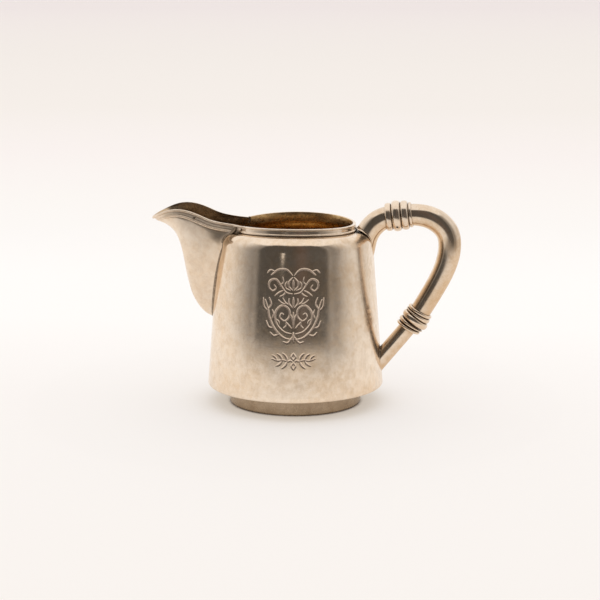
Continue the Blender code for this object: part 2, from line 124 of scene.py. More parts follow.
def make_camera():
    data = bpy.data.cameras.new("camera")
    data.lens = 99.8
    data.sensor_width = 36.0
    data.shift_x = 0.00767
    data.shift_y = 0.01727
    data.clip_start = 0.01
    data.clip_end = 200.0
    item = add_object("camera", data)
    place = Vector((70.0 + AXIS_X, -666.1, 177.3)) * MM
    aim = Vector((AXIS_X, 0.0, 37.5)) * MM
    item.location = place
    item.rotation_euler = (aim - place).to_track_quat("-Z", "Y").to_euler()
    bpy.context.scene.camera = item


# --- node helpers


def new_material(name):
    material = bpy.data.materials.new(name)
    material.use_nodes = True
    tree = material.node_tree
    return material, tree, tree.nodes["Principled BSDF"]


def feed(tree, socket, value):
    """Link an output to a socket, or set the socket to a plain value."""
    if isinstance(value, bpy.types.NodeSocket):
        tree.links.new(value, socket)
    else:
        socket.default_value = value


def fill(tree, node, **inputs):
    """Feed the inputs of a node; each keyword is the name of an input, with _ for a space."""
    for name, value in inputs.items():
        feed(tree, node.inputs[name.replace("_", " ")], value)


def add_node(tree, kind, **inputs):
    node = tree.nodes.new("ShaderNode" + kind)
    fill(tree, node, **inputs)
    return node


def coords(tree, scale, turn=(0.0, 0.0, 0.0)):
    """Object coordinates in millimetres, stretched by scale."""
    place = add_node(tree, "TexCoord").outputs["Object"]
    size = tuple(1000.0 * s for s in scale)
    return add_node(tree, "Mapping", Vector=place, Rotation=turn, Scale=size).outputs["Vector"]


def noise(tree, scale, detail, rough, turn=(0.0, 0.0, 0.0), distortion=0.0):
    node = add_node(tree, "TexNoise", Vector=coords(tree, scale, turn), Scale=1.0)
    fill(tree, node, Detail=detail, Roughness=rough, Distortion=distortion)
    return node.outputs["Fac"]


def ranged(tree, value, low, high, to_low=0.0, to_high=1.0):
    node = add_node(tree, "MapRange", Value=value, From_Min=low, From_Max=high, To_Min=to_low, To_Max=to_high)
    node.interpolation_type = "SMOOTHSTEP"
    return node.outputs["Result"]


def maths(tree, operation, first, second):
    node = add_node(tree, "Math")
    node.operation = operation
    feed(tree, node.inputs[0], first)
    feed(tree, node.inputs[1], second)
    return node.outputs["Value"]


def mixed(tree, share, first, second, blend="MIX"):
    node = add_node(tree, "Mix")
    node.data_type = "RGBA"
    node.blend_type = blend
    feed(tree, node.inputs["Factor"], share)
    feed(tree, node.inputs[6], first)
    feed(tree, node.inputs[7], second)
    return node.outputs[2]


def bump(tree, height, distance, strength, below=None):
    node = add_node(tree, "Bump", Height=height, Distance=distance * MM, Strength=strength)
    if below is not None:
        feed(tree, node.inputs["Normal"], below)
    return node.outputs["Normal"]


def occlusion(tree, distance):
    node = add_node(tree, "AmbientOcclusion", Distance=distance * MM)
    node.samples = 4
    return node.outputs["AO"]


def split(tree, vector):
    return add_node(tree, "SeparateXYZ", Vector=vector).outputs


def silver(name, clean, tan, dark, rough, tarnish, hollow_shade_and_tarnish_level, dents=0.25, under=0.0, brushed=0.6, dull=0.0):
    """Worn silver: tan tarnish in soft patches, small pits, fine scratches, and painted shade with tarnish
    darkening the hollows.
    """
    material, tree, shader = new_material(name)
    patches = noise(tree, (0.045, 0.045, 0.06), 3.0, 0.6)
    mottle = noise(tree, (0.35, 0.35, 0.35), 6.0, 0.68, distortion=0.4)
    speck = noise(tree, (1.6, 1.6, 1.6), 4.0, 0.7)
    cloud = maths(tree, "ADD", maths(tree, "MULTIPLY", patches, 0.55), maths(tree, "MULTIPLY", mottle, 0.45))
    share = ranged(tree, cloud, 0.38, 0.68, 0.12 * tarnish, tarnish)
    colour = mixed(tree, share, clean, tan)
    spots = ranged(tree, speck, 0.64, 0.74, 0.0, 0.35 * tarnish)
    colour = mixed(tree, spots, colour, dark)
    smudge = ranged(tree, noise(tree, (0.3, 0.3, 0.22), 5.0, 0.7, distortion=0.5), 0.38, 0.68, 0.0, 0.8)
    colour = mixed(tree, smudge, colour, (0.87, 0.84, 0.81, 1.0), "MULTIPLY")
    if under:
        # painted warm reflection of the table: surfaces that face down or towards the handle are browner
        facing = split(tree, add_node(tree, "TexCoord").outputs["Normal"])
        lean = maths(tree, "SUBTRACT", maths(tree, "MULTIPLY", facing["X"], 0.45), facing["Z"])
        below = ranged(tree, lean, -0.25, 0.85, 0.0, under)
        below = maths(tree, "MULTIPLY", below, ranged(tree, mottle, 0.3, 0.65, 0.65, 1.0))
        colour = mixed(tree, below, colour, (0.66, 0.44, 0.25, 1.0))
    # painted shade with some tarnish: darker where ambient occlusion finds a hollow; the same mask roughens
    # it
    hollow_shade_and_tarnish = maths(tree, "MULTIPLY", ranged(tree, occlusion(tree, 1.6), 0.35, 0.8, 1.0, 0.0), hollow_shade_and_tarnish_level)
    colour = mixed(tree, hollow_shade_and_tarnish, colour, dark)

    fine = noise(tree, (0.25, 0.25, 9.0), 3.0, 0.75)
    cross = noise(tree, (7.0, 0.4, 1.1), 3.0, 0.7, turn=(0.3, 0.5, 0.7))
    gloss = ranged(tree, mottle, 0.35, 0.7, rough[0], rough[1])
    gloss = maths(tree, "ADD", gloss, ranged(tree, fine, 0.5, 0.8, 0.0, 0.06))
    gloss = maths(tree, "ADD", gloss, maths(tree, "MULTIPLY", hollow_shade_and_tarnish, 0.25))
    if dull:
        # the handle's side of the wall is less polished
        where = split(tree, coords(tree, (1.0, 1.0, 1.0)))
        gloss = maths(tree, "ADD", gloss, ranged(tree, where["X"], 8.0, 24.0, 0.0, dull))

    normal = bump(tree, noise(tree, (0.055, 0.055, 0.05), 1.0, 0.4), 1.0, dents)
    normal = bump(tree, fine, 0.006, brushed, normal)
    normal = bump(tree, cross, 0.004, 0.35, normal)
    pits = ranged(tree, noise(tree, (1.7, 1.7, 1.7), 2.0, 0.5), 0.24, 0.32)
    normal = bump(tree, pits, 0.012, 0.4, normal)
    fill(tree, shader, Metallic=1.0, Base_Color=colour, Roughness=gloss, Normal=normal)
    return material


def gilding(name, bright, deep):
    """Worn gilt inside: brown gold with darker stains."""
    material, tree, shader = new_material(name)
    stain = noise(tree, (0.08, 0.08, 0.2), 5.0, 0.65, distortion=0.6)
    grain = noise(tree, (0.7, 0.7, 0.7), 5.0, 0.7)
    colour = mixed(tree, ranged(tree, stain, 0.42, 0.6), bright, deep)
    colour = mixed(tree, ranged(tree, grain, 0.55, 0.75, 0.0, 0.55), colour, (0.2, 0.11, 0.045, 1.0))
    normal = bump(tree, noise(tree, (0.12, 0.12, 0.12), 2.0, 0.5), 0.5, 0.3)
    normal = bump(tree, noise(tree, (0.4, 0.4, 5.0), 3.0, 0.6), 0.01, 0.4, normal)
    gloss = ranged(tree, grain, 0.3, 0.7, 0.22, 0.4)
    fill(tree, shader, Metallic=1.0, Base_Color=colour, Roughness=gloss, Normal=normal)
    return material


def cut_silver(name):
    """Satin sides of the graver cuts, cleaner than the wall, darker at the bottom with painted shade and a
    little tarnish.
    """
    material, tree, shader = new_material(name)
    grain = noise(tree, (2.2, 2.2, 5.0), 4.0, 0.7)
    colour = mixed(tree, ranged(tree, grain, 0.4, 0.7), (0.8, 0.66, 0.54, 1.0), (0.6, 0.45, 0.34, 1.0))
    # painted shade with a little tarnish at the bottom of the cuts, from ambient occlusion
    deep = ranged(tree, occlusion(tree, 0.35), 0.5, 0.85, 0.9, 0.0)
    colour = mixed(tree, deep, colour, (0.2, 0.14, 0.1, 1.0))
    gloss = ranged(tree, grain, 0.3, 0.7, 0.3, 0.44)
    fill(tree, shader, Metallic=1.0, Base_Color=colour, Roughness=gloss, Normal=bump(tree, grain, 0.01, 0.4))
    return material


def solder_and_hole_shade(name, low, high):
    """Dark, dirty metal of solder lines, and the near-black painted shade inside pin holes."""
    material, tree, shader = new_material(name)
    spot = noise(tree, (1.2, 1.2, 1.2), 4.0, 0.6)
    colour = mixed(tree, ranged(tree, spot, 0.4, 0.7), low, high)
    gloss = ranged(tree, spot, 0.3, 0.7, 0.35, 0.6)
    fill(tree, shader, Metallic=1.0, Base_Color=colour, Roughness=gloss, Normal=bump(tree, spot, 0.05, 0.5))
    return material


# --- mesh helpers


def grid_faces(rows, cols, wrap_rows=False, wrap_cols=False):
    r = np.arange(rows if wrap_rows else rows - 1)
    c = np.arange(cols if wrap_cols else cols - 1)
    rr, cc = np.meshgrid(r, c, indexing="ij")
    r2, c2 = (rr + 1) % rows, (cc + 1) % cols
    return np.stack([rr * cols + cc, rr * cols + c2, r2 * cols + c2, r2 * cols + cc], -1).reshape(-1, 4)


def capped_faces(rows, cols):
    """Faces of a tube made of rings, with its two ends."""
    return [*grid_faces(rows, cols, False, True), range(cols), range((rows - 1) * cols, rows * cols)]


def build_mesh(name, points, faces, materials, face_materials, sharp, merge=0.0):
    """A mesh from points in millimetres; faces are turned outwards."""
    mesh = bpy.data.meshes.new(name)
    place = np.array(points, float).reshape(-1, 3)
    place[:, 0] += AXIS_X
    mesh.from_pydata((place * MM).tolist(), [], [list(map(int, f)) for f in faces])
    for material in materials:
        mesh.materials.append(material)
    if face_materials is not None:
        mesh.polygons.foreach_set("material_index", np.array(face_materials, np.int32))
    work = bmesh.new()
    work.from_mesh(mesh)
    if merge:
        bmesh.ops.remove_doubles(work, verts=work.verts, dist=merge * MM)
        bmesh.ops.dissolve_degenerate(work, edges=work.edges, dist=1e-8)
    bmesh.ops.recalc_face_normals(work, faces=work.faces)
    if work.calc_volume(signed=True) < 0.0:
        bmesh.ops.reverse_faces(work, faces=work.faces)
    work.to_mesh(mesh)
    work.free()
    mesh.shade_smooth()
    mesh.set_sharp_from_angle(angle=math.radians(sharp))
    return add_object(name, mesh)


def place_piece(item, slot, *nodes):
    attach(item, "root")
    if nodes:
        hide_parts(*nodes)


def smooth_line(points, count, passes):
    """Evenly spaced points along a rounded line through the given points, then relaxed."""
    knots = np.array(points, float)
    dense = []
    for i in range(len(knots) - 1):
        p0, p1, p2 = knots[max(i - 1, 0)], knots[i], knots[i + 1]
        p3 = knots[min(i + 2, len(knots) - 1)]
        t = (np.arange(40) / 40.0)[:, None]
        a = -0.5 * p0 + 1.5 * p1 - 1.5 * p2 + 0.5 * p3
        b = p0 - 2.5 * p1 + 2.0 * p2 - 0.5 * p3
        c = -0.5 * p0 + 0.5 * p2
        dense.append(((a * t + b) * t + c) * t + p1)
    dense = np.vstack(dense + [knots[-1:]])
    line = resample(dense, 200)
    for _ in range(passes * 40):
        line[1:-1] += 0.4 * (0.5 * (line[:-2] + line[2:]) - line[1:-1])
    return resample(line, count)


def resample(line, count):
    step = np.linalg.norm(np.diff(line, axis=0), axis=1)
    run = np.concatenate([[0.0], np.cumsum(step)])
    goal = np.linspace(0.0, run[-1], count)
    return np.stack([np.interp(goal, run, line[:, k]) for k in range(line.shape[1])], -1)


def smooth_row(values, passes=12):
    """Relax a row of numbers or points between its two ends."""
    values = values.copy()
    for _ in range(passes):
        values[1:-1] = 0.5 * values[1:-1] + 0.25 * (values[:-2] + values[2:])
    return values


def full_turn(count):
    return np.linspace(0.0, 2.0 * math.pi, count, endpoint=False)


def smoothstep(value, low, high):
    t = np.clip((np.asarray(value, float) - low) / (high - low), 0.0, 1.0)
    return t * t * (3.0 - 2.0 * t)


def unit(v):
    return v / np.maximum(np.linalg.norm(v, axis=-1, keepdims=True), 1e-12)


# --- body shape


def side_radius(z):
    return BODY_BOTTOM_R - BODY_TAPER * (np.asarray(z, float) - BODY_BOTTOM_Z)


# where the straight side runs into the rounded shoulder
START_TURN = math.atan(0.0723)
SHOULDER_START = SHOULDER_Z + SHOULDER_RISE * math.sin(START_TURN)
SHOULDER_WIDE = (float(side_radius(SHOULDER_START)) - NECK_R) / math.cos(START_TURN)


def outer_radius(z):
    """Outer radius of the wall up to the top of the shoulder."""
    z = np.asarray(z, float)
    rise = np.clip((z - SHOULDER_Z) / SHOULDER_RISE, 0.0, 1.0)
    shoulder = NECK_R + SHOULDER_WIDE * np.sqrt(np.maximum(1.0 - rise * rise, 0.0))
    return np.where(z < SHOULDER_START, side_radius(z), shoulder)


def sway_share(z):
    return np.clip((np.asarray(z, float) - SHOULDER_Z) / (SHOULDER_TOP_Z - SHOULDER_Z), 0.0, 1.0)


def sway(points):
    """Carry the dip of the mouth rim down into the shoulder."""
    out = np.array(points, float)
    angle = np.arctan2(out[..., 1], -out[..., 0])
    out[..., 2] -= RIM_DIP * np.cos(angle) ** 2 * sway_share(out[..., 2])
    return out


def seam_half_width(z):
    z = np.asarray(z, float)
    rise = np.maximum(z - SEAM_FOOT_Z, 0.0)
    width = SEAM_SPREAD * rise + 1.3 * (1.0 - np.exp(-rise / 0.7))
    top = SHOULDER_Z + 1.0
    return width - np.maximum(z - top, 0.0) * (0.42 + SEAM_SPREAD)


def seam_point(z):
    z = np.asarray(z, float)
    radius = outer_radius(np.minimum(z, SHOULDER_TOP_Z - 0.02))
    half = np.minimum(seam_half_width(z), radius * 0.9)
    return np.stack([-np.sqrt(radius ** 2 - half ** 2), half, z], -1)


def opening_half(z):
    """Half width of the opening in the wall behind the spout."""
    z = np.asarray(z, float)
    half = seam_half_width(np.minimum(z, 66.5)) - 2.0
    half = np.where(z > 66.5, np.interp(z, [66.5, 69.0, 71.0], [13.15, 12.1, 11.4]), half)
    start = np.clip((z - OPENING_FOOT_Z) / 2.5, 0.0, 1.0)
    return half * np.sqrt(start)


def turned_sides(profile, columns):
    """Both halves of a turned surface from the spout opening round to the handle, as one grid."""
    r, z = np.array(profile, float).T
    start = np.arcsin(np.clip(opening_half(z) / r, 0.0, 0.99))
    share = np.linspace(0.0, 1.0, columns)
    angle = start[:, None] + (math.pi - start[:, None]) * share[None, :]
    full = np.concatenate([angle, -angle[:, ::-1][:, 1:]], 1)
    x = -r[:, None] * np.cos(full)
    y = r[:, None] * np.sin(full)
    return sway(np.stack([x, y, np.repeat(z[:, None], full.shape[1], 1)], -1))


def body_profile():
    rows = []
    low = BODY_BOTTOM_Z + 0.7
    centre = float(side_radius(low)) - 0.702
    for turn in np.linspace(-90.0, 4.5, 9):
        a = math.radians(turn)
        rows.append((centre + 0.7 * math.cos(a), low + 0.7 * math.sin(a)))
    heights = list(np.linspace(9.5, 38.0, 24))
    heights += [38.7, 39.0, 39.02, 39.08, 39.2, 39.4, 39.7, 40.1, 40.6, 41.2]
    heights += list(np.linspace(42.2, 66.0, 24))
    rows += [(float(side_radius(z)), z) for z in heights]
    for turn in np.linspace(START_TURN, math.pi / 2.0, 30):
        rows.append((NECK_R + SHOULDER_WIDE * math.cos(turn), SHOULDER_Z + SHOULDER_RISE * math.sin(turn)))
    rows += [(NECK_R - 0.5, SHOULDER_TOP_Z + 0.02), (NECK_R - 0.6, SHOULDER_TOP_Z + 0.5)]
    outer_count = len(rows)
    rows += [(NECK_BORE_R, SHOULDER_TOP_Z + 0.5), (NECK_BORE_R, SHOULDER_TOP_Z - SHEET)]
    for turn in np.linspace(math.pi / 2.0, START_TURN, 16)[1:]:
        wide, tall = SHOULDER_WIDE - SHEET, SHOULDER_RISE - SHEET
        rows.append((NECK_R + wide * math.cos(turn), SHOULDER_Z + tall * math.sin(turn)))
    rows += [(float(side_radius(z)) - SHEET, z) for z in reversed(heights)]
    rows += [(BODY_BOTTOM_R - SHEET, BODY_BOTTOM_Z + 0.02), (BODY_BOTTOM_R - SHEET, BODY_BOTTOM_Z)]
    return rows, outer_count


# --- engraved ornament

ORNAMENT_TURN = math.radians(-85.3)
ORNAMENT_Z = 45.9
ORNAMENT_SCALE = 0.9
SPRIG_Z = 24.2

# Half of a symmetric leaf-and-scroll ornament, as (half width, points); across, then up, from its centre.
ORNAMENT = (
    (0.5, ((0.9, -14.6), (4.5, -13.6), (8.2, -10.2), (10.6, -5.4), (11.4, -1.2), (12.6, 2.6))),
    (0.38, ((11.3, -2.2), (13.2, -0.4), (13.5, 3.4))),
    (0.38, ((11.1, -1.4), (9.9, 0.8), (10.7, 3.6))),
    (0.46, ((1.0, -12.0), (4.4, -11.0), (7.6, -7.4), (7.9, -2.8), (5.2, 0.2), (2.3, -1.0), (1.7, -4.2),
            (3.8, -6.4), (5.9, -5.0), (5.3, -3.1), (4.3, -3.6))),
    (0.36, ((3.9, -6.3), (2.3, -8.0), (0.9, -9.6))),
    (0.32, ((3.4, -6.5), (3.2, -8.4), (4.4, -9.6))),
    (0.42, ((0.0, -9.6), (0.0, -2.6))),
    (0.34, ((1.5, -3.2), (0.8, -4.6), (0.5, -6.6))),
    (0.46, ((0.0, -0.8), (0.0, 3.9))),
    (0.38, ((0.5, -0.6), (1.9, 1.2), (1.9, 3.4))),
    (0.36, ((1.2, 0.4), (3.5, 1.6), (4.6, 3.6))),
    (0.34, ((2.4, 0.9), (4.8, 1.3), (6.6, 2.8))),
    (0.46, ((0.5, 5.4), (3.2, 6.1), (5.4, 8.8), (7.7, 11.6), (10.4, 10.8), (10.9, 8.2), (9.3, 6.6),
            (7.7, 7.7), (8.4, 9.2))),
    (0.36, ((4.2, 7.0), (6.4, 5.9), (8.2, 4.4))),
    (0.34, ((3.3, 6.3), (4.4, 4.9), (6.0, 4.2))),
    (0.48, ((0.4, 13.4), (3.0, 15.9), (6.6, 15.8), (9.8, 13.4))),
    (0.34, ((8.0, 15.0), (10.2, 15.6), (11.7, 14.2))),
    (0.5, ((0.0, 7.4), (0.0, 11.4))),
    (0.42, ((0.3, 6.9), (2.0, 8.6), (1.9, 10.6), (0.3, 12.6))),
    (0.34, ((1.2, 6.9), (3.3, 7.9), (3.5, 9.6), (2.7, 10.9))),
    (0.34, ((5.6, 9.3), (4.4, 10.6), (4.7, 12.8))),
    (0.42, ((0.0, -11.4), (0.0, -15.8))),
    (0.36, ((0.5, -13.4), (2.4, -15.9), (4.4, -15.5))),
    (0.36, ((8.7, -9.6), (11.0, -9.2), (12.1, -6.6))),
    (0.36, ((6.3, -12.2), (8.7, -13.0), (10.3, -11.6))),
    (0.30, ((9.6, -5.6), (8.8, -3.6), (9.3, -1.6))),
    (0.30, ((7.8, -5.6), (6.6, -6.6), (6.2, -8.0))),
)
SPRIG = (
    (0.30, ((0.0, 0.5), (0.75, 1.8), (0.0, 3.3))),
    (0.30, ((0.0, -0.5), (0.75, -1.8), (0.0, -3.3))),
    (0.36, ((0.6, 0.0), (1.2, 0.3), (2.0, 0.0))),
    (0.30, ((2.0, 0.0), (4.2, 0.5), (6.2, 0.2), (8.6, 0.9))),
    (0.36, ((2.5, 0.2), (2.9, 1.9), (4.2, 3.2))),
    (0.36, ((2.5, 0.0), (3.2, -1.6), (4.6, -2.8))),
    (0.36, ((4.5, 0.5), (5.1, 2.0), (6.4, 2.9))),
    (0.36, ((4.5, 0.3), (5.4, -1.1), (6.8, -1.9))),
    (0.32, ((6.5, 0.3), (7.2, 1.6), (8.4, 2.3))),
)
CUT_SLOPE = 0.62
CUT_DEPTH = 0.26
CUT_REACH = 0.7
FINE_STEP = 0.14
FINE_SPLIT = 6


def cut_depth(across, up, strokes):
    """Depth of V-shaped graver cuts; broad cuts are doubled lines with a ridge between."""
    depth = np.zeros(across.shape)
    for half_width, points in strokes:
        line = smooth_line(points, 240, 0)
        share = np.linspace(0.0, 1.0, len(line))
        width = half_width * (0.42 + 0.58 * np.sin(math.pi * share) ** 0.7)
        for side in (1.0, -1.0):
            x, y = line[:, 0] * side, line[:, 1]
            near = (across > x.min() - CUT_REACH) & (across < x.max() + CUT_REACH)
            near &= (up > y.min() - CUT_REACH) & (up < y.max() + CUT_REACH)
            gap = np.hypot(across[near][:, None] - x[None], up[near][:, None] - y[None])
            place = gap.argmin(1)
            gap, wide = gap[np.arange(len(place)), place], width[place]
            q = gap / wide
            single = np.minimum((1.0 - q) * wide * CUT_SLOPE, CUT_DEPTH)
            double = np.where(q < 0.5, 0.35 + 1.3 * q, 2.0 - 2.0 * q) * wide * CUT_SLOPE * 0.72
            cut = np.where(wide > 0.4, double, single)
            depth[near] = np.maximum(depth[near], np.maximum(cut, 0.0))
            if np.abs(line[:, 0]).max() < 1e-6:
                break
    return depth


def refine_wall(base, faces, marks, columns, heights, rows, cols, centre_z, scale, strokes):
    """Swap part of the coarse wall grid for a fine one with the cuts, its border stitched in."""
    (i0, i1), (j0, j1) = rows, cols
    row_marks, fine_z = [], []
    for i in range(i0, i1):
        row_marks.append(len(fine_z))
        pieces = max(1, int(math.ceil((heights[i + 1] - heights[i]) / FINE_STEP)))
        fine_z += list(heights[i] + (heights[i + 1] - heights[i]) * np.arange(pieces) / pieces)
    row_marks.append(len(fine_z))
    fine_z.append(heights[i1])
    fine_c = j0 + np.arange((j1 - j0) * FINE_SPLIT + 1) / FINE_SPLIT
    z, c = np.meshgrid(np.array(fine_z), fine_c, indexing="ij")
    radius = side_radius(z)
    start = np.arcsin(np.clip(opening_half(z) / radius, 0.0, 0.99))
    azimuth = start + (math.pi - start) * (columns - 1 - c) / ((columns - 1) // 2) - math.pi
    across, up = radius * (azimuth - ORNAMENT_TURN) / scale, (z - centre_z) / scale
    depth = cut_depth(across, up, strokes) * scale
    deep = radius - depth
    fresh = np.stack([deep * np.cos(azimuth), deep * np.sin(azimuth), z], -1)
    index = np.full(z.shape, -1)
    for m, i in zip(row_marks, range(i0, i1 + 1)):
        coarse = i * columns + np.arange(j0, j1 + 1)
        index[m, ::FINE_SPLIT] = coarse
        base[coarse] = fresh[m, ::FINE_SPLIT]
    new = index < 0
    index[new] = len(base) + np.arange(new.sum())
    base = np.concatenate([base, fresh[new]], 0)

    kept_faces, kept_marks = [], []
    for face, mark in zip(faces, marks):
        if len(face) == 4:
            i, j = divmod(min(face), columns)
            if i0 <= i < i1 and j0 <= j < j1 and mark == 0 and max(face) == (i + 1) * columns + j + 1:
                continue
        kept_faces.append(face)
        kept_marks.append(mark)
    lookup = {face[0]: k for k, face in enumerate(kept_faces) if len(face) > 3}

    def insert(i, j, chain):
        """Add the fine points between the ends of the chain to the coarse face at row i, column j."""
        k = lookup[i * columns + j]
        place = kept_faces[k].index(chain[0]) + 1
        kept_faces[k] = kept_faces[k][:place] + chain[1:-1] + kept_faces[k][place:]

    for j in range(j0, j1):
        span = slice((j - j0) * FINE_SPLIT, (j - j0 + 1) * FINE_SPLIT + 1)
        insert(i1, j, index[-1, span].tolist())
        insert(i0 - 1, j, index[0, span][::-1].tolist())
    for n, i in enumerate(range(i0, i1)):
        span = slice(row_marks[n], row_marks[n + 1] + 1)
        insert(i, j0 - 1, index[span, 0].tolist())
        insert(i, j1, index[span, -1][::-1].tolist())
    quads, deeps = (
        np.stack([g[:-1, :-1], g[:-1, 1:], g[1:, 1:], g[1:, :-1]], -1).reshape(-1, 4) for g in (index, depth)
    )
    kept_faces += quads.tolist()
    kept_marks += np.where(deeps.mean(-1) > 0.02, 2, 0).tolist()
    return base, kept_faces, kept_marks


def soften_cuts(item):
    """Keep the sides of the cuts smooth shaded."""
    mesh = item.data
    x, y, z = (np.array([v.co for v in mesh.vertices], float) / MM - (AXIS_X, 0.0, 0.0)).T
    inside = (y < -20.0) & (z > 17.0) & (z < 65.5) & (np.hypot(x, y) > side_radius(z) - 0.5)
    for edge in mesh.edges:
        if inside[list(edge.vertices)].all():
            edge.use_edge_sharp = False


def sheet_edge(outer, inner, heights):
    """Triangles of the sheet's cut edge, as rows of the outer and inner faces, from the bottom up."""
    edge = []
    while len(outer) > 1 or len(inner) > 1:
        ahead_out = heights[outer[1]] if len(outer) > 1 else math.inf
        ahead_in = heights[inner[1]] if len(inner) > 1 else math.inf
        leading = outer if ahead_out <= ahead_in else inner
        triangle = (outer[0], leading[1], inner[0])
        leading.pop(0)
        if len(set(triangle)) == 3:
            edge.append(triangle)
    return edge


def build_body(outside, gilt, cut):
    rows, outer_count = body_profile()
    points = turned_sides(rows, 121)
    count, columns = points.shape[:2]
    faces = grid_faces(count, columns, wrap_rows=True).tolist()
    outside_faces, inside_faces = outer_count * (columns - 1), (count - 1 - outer_count) * (columns - 1)
    marks = [0] * outside_faces + [1] * inside_faces + [0] * (columns - 1)
    heights = [z for _, z in rows]
    outer = [i for i in range(outer_count) if heights[i] >= OPENING_FOOT_Z]
    inner = [i for i in range(outer_count, count) if heights[i] >= OPENING_FOOT_Z][::-1]
    edge = sheet_edge(outer, inner, heights)
    for column in (0, columns - 1):
        faces += [[i * columns + column for i in triangle] for triangle in edge]
        marks += [1] * len(edge)
    base = points.reshape(-1, 3)
    half = (columns - 1) // 2
    outer_z = np.array(heights[:outer_count])
    # each patch: heights, shares of the half turn from spout to handle, then the ornament in it
    patches = (
        (30.8, 61.5, 0.31, 0.65, ORNAMENT_Z, ORNAMENT_SCALE, ORNAMENT),
        (20.0, 28.2, 0.435, 0.61, SPRIG_Z, 1.0, SPRIG),
    )
    for low, high, first, last, *ornament in patches:
        span = (int(np.searchsorted(outer_z, low)) - 1, int(np.searchsorted(outer_z, high)))
        wide = (columns - 1 - int(last * half), columns - 1 - int(first * half))
        base, faces, marks = refine_wall(base, faces, marks, columns, heights, span, wide, *ornament)
    item = build_mesh("jug_body", base, faces, [outside, gilt, cut], marks, 40.0, merge=0.004)
    soften_cuts(item)
    place_piece(item, "body_silver", "body_wall")


# --- spout


def spout_lines(count):
    keel = smooth_line([(-x, 0.0, z) for x, z in KEEL], count, 1)
    rim = smooth_line([(-x, y, z) for x, y, z in RIM_LINE], count, 1)
    return keel, smooth_row(rim, 3)


def rib_points(keel, rim, u, t):
    """Points of the +Y side for shares u along the spout and t from keel to rim."""
    tt = np.broadcast_to(t, (len(u), len(t)))
    across = np.sin(0.5 * math.pi * tt ** 0.62)

    def rib(k, r):
        flat = k + (r - k) * tt[..., None]
        return np.stack([flat[..., 0], r[..., 1] * across, flat[..., 2]], -1)

    first = rib(np.array([-KEEL[0][0], 0.0, KEEL[0][1]]), np.array(RIM_LINE[0]) * (-1.0, 1.0, 1.0))
    shift = seam_point(first[..., 2]) - first
    blend = np.maximum(1.0 - np.asarray(u) * 24.0 / 7.0, 0.0) ** 1.6
    fade = smoothstep(1.0 - tt, 0.0, 0.2)
    return rib(keel[:, None], rim[:, None]) + shift * (blend[:, None] * fade)[..., None]


def build_spout(outside, gilt):
    places, stops = 110, 46
    keel, rim = spout_lines(places)
    last = int(places * 0.955)
    u = np.linspace(0.0, 1.0, places)[:last]
    keel, rim = keel[:last], rim[:last]
    t = np.linspace(0.0, 1.0, stops) ** 1.7
    half = rib_points(keel, rim, u, t)
    under = half[0] + (half[0] - half[1]) * 0.6
    half = np.concatenate([under[None], half], 0)
    outer = np.concatenate([half[:, ::-1][:, :-1] * MIRROR, half], 1)
    normal = unit(np.cross(np.gradient(outer, axis=0), np.gradient(outer, axis=1)))
    middle = outer.shape[1] // 2
    if normal[outer.shape[0] // 2, middle][0] > 0.0:
        normal = -normal
    length = np.linalg.norm(half[:, -1] - half[:, 0], axis=-1)
    share = np.concatenate([t[::-1][:-1], t])[None, :]
    from_rim = (1.0 - share) * length[:, None]
    inset = 0.55 * smoothstep(-from_rim, -3.3, -2.6)
    thick = 0.8 + 0.42 * smoothstep(-from_rim, -6.0, -3.0)
    surface = outer - normal * inset[..., None]
    lining = outer - normal * np.maximum(thick, inset + 0.4)[..., None]
    rows, cols = surface.shape[:2]
    points = np.concatenate([surface.reshape(-1, 3), lining.reshape(-1, 3)], 0)
    top = grid_faces(rows, cols)
    offset = rows * cols
    index = np.arange(offset).reshape(rows, cols)
    border = np.concatenate([index[0], index[1:, -1], index[-1, -2::-1], index[-2:0:-1, 0]])
    ahead = np.roll(border, -1)
    edge = np.stack([border, ahead, ahead + offset, border + offset], -1)
    faces = [*top, *(top[:, ::-1] + offset), *edge]
    marks = [0] * len(top) + [1] * (len(faces) - len(top))
    item = build_mesh("jug_spout", points, faces, [outside, gilt], marks, 50.0)
    place_piece(item, "body_silver", "spout_shell")


def band_section(thick, tall):
    """Section of the rim moulding as (outwards, upwards), closed."""
    bead = 0.42
    points = [(0.0, 0.0), (thick + 0.1, 0.0)]
    for a in np.linspace(-75.0, 80.0, 9):
        a = math.radians(a)
        points.append((thick + 0.12 + bead * math.cos(a), bead + bead * math.sin(a)))
    points += [(thick + 0.08, 0.93), (thick - 0.02, 1.15), (thick - 0.06, 0.5 * tall)]
    points += [(thick - 0.02, tall - 1.0), (thick - 0.1, tall - 0.86)]
    for a in np.linspace(-60.0, 95.0, 10):
        a = math.radians(a)
        points.append((thick - 0.34 + bead * math.cos(a), tall - bead + bead * math.sin(a)))
    points += [(0.3, tall), (0.08, tall - 0.08), (0.0, tall - 0.3)]
    return np.array(points)


def lip_frames(count):
    """Rim of the spout's +Y side, with its down and out directions and the band's height."""
    keel, rim = spout_lines(count)
    u = np.linspace(0.0, 1.0, count)
    run = np.gradient(rim, axis=0)
    run[-1] = (0.0, -1.0, 0.0)
    run = unit(run)
    near = rib_points(keel, rim, np.ones(count), np.array([0.9]))[:, 0]
    down = unit(near - rim)
    tip_down = unit(np.array([1.0, 0.0, -0.1]))
    turn = smoothstep(u, 0.72, 0.97)[:, None]
    down = unit(down * (1.0 - turn) + tip_down * turn)
    down = unit(down - run * (down * run).sum(-1, keepdims=True))
    out = unit(np.cross(run, down))
    flip = np.where(out[:, 1] < 0.0, -1.0, 1.0)
    flip[-1] = -1.0 if out[-1, 2] > 0.0 else 1.0
    out = out * flip[:, None]
    down, out = unit(smooth_row(down)), unit(smooth_row(out))
    tall = LIP_TALL + (LIP_TALL_AT_TIP - LIP_TALL) * np.maximum(u - 0.4, 0.0) / 0.6
    return rim, down, out, tall


